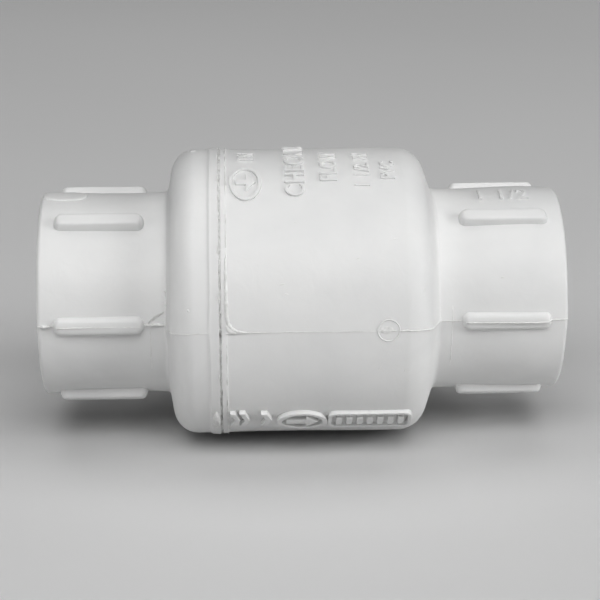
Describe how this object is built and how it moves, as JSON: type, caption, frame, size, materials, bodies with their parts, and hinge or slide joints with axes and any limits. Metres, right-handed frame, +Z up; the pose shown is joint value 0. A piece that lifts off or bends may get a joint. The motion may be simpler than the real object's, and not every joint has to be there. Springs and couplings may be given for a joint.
{
  "type": "check valve",
  "caption": "White PVC in-line spring check valve with a fat round barrel between two ribbed, female-threaded pipe hubs.",
  "frame": {"origin": "centre of the inlet port's mouth, on the flow axis", "axes": "+X along the flow, from the inlet to the outlet; +Z up; the moulds part on the plane z = 0"},
  "size_m": [0.1525, 0.086, 0.086],
  "materials": {
    "white_pvc": "as moulded, slightly glossy",
    "weld_pvc": "melted and torn",
    "inner_pvc": "as moulded, satin",
    "seal_rubber": "satin",
    "stainless_steel": "drawn and turned"
  },
  "bodies": {
    "housing": {"inlet_body": "white_pvc", "outlet_body": "white_pvc", "weld_bead": "weld_pvc", "stem_guide": "inner_pvc", "spring": "stainless_steel"},
    "poppet_assembly": {"poppet": "inner_pvc", "poppet_seal": "seal_rubber", "seal_retainer": "inner_pvc", "retainer_washer": "stainless_steel", "retainer_screw": "stainless_steel"}
  },
  "joints": [
    {"name": "poppet_slide", "type": "slide", "parent": "housing", "child": "poppet_assembly", "axis": [1, 0, 0], "range_m": [0, 0.012], "stiffness_N_per_m": 350, "springref_m": -0.0134, "deforming": ["spring"]}
  ]
}
